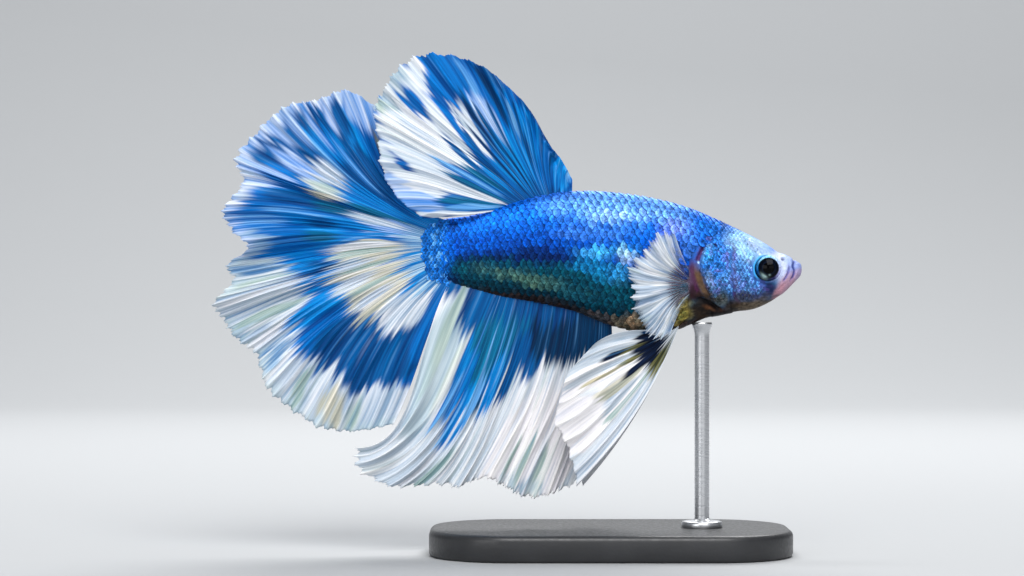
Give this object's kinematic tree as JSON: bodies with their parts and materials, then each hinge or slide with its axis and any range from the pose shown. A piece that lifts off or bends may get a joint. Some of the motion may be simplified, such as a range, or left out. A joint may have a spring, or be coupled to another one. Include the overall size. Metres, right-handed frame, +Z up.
{
  "type": "betta fish model on a display stand",
  "caption": "Still life-size male betta fish with fan-shaped flowing fins, held level above a flat base by an upright rod.",
  "frame": {"origin": "middle of the flat underside of the stand's base", "axes": "+X towards the fish's snout, +Y towards its left side, +Z up"},
  "size_m": [0.0714, 0.026, 0.0608],
  "materials": {
    "skin": "moist scaled skin, satin",
    "eye": "wet gloss",
    "fin": "ribbed membrane, satin",
    "clear_fin": "thin ribbed membrane, satin",
    "stand_base": "satin black",
    "stand_rod": "satin"
  },
  "bodies": {
    "root": {"head": "skin", "lower_jaw": "skin", "gill_cover_right": "skin", "gill_cover_left": "skin", "trunk": "skin", "tail_stem": "skin", "eye_right": "eye", "eye_left": "eye", "dorsal_fin": "fin", "caudal_fin": "fin", "anal_fin": "fin", "pectoral_fin_right": "clear_fin", "pectoral_fin_left": "clear_fin", "pelvic_fin_right": "fin", "pelvic_fin_left": "fin", "stand_base": "stand_base", "stand_rod": "stand_rod"}
  },
  "joints": []
}
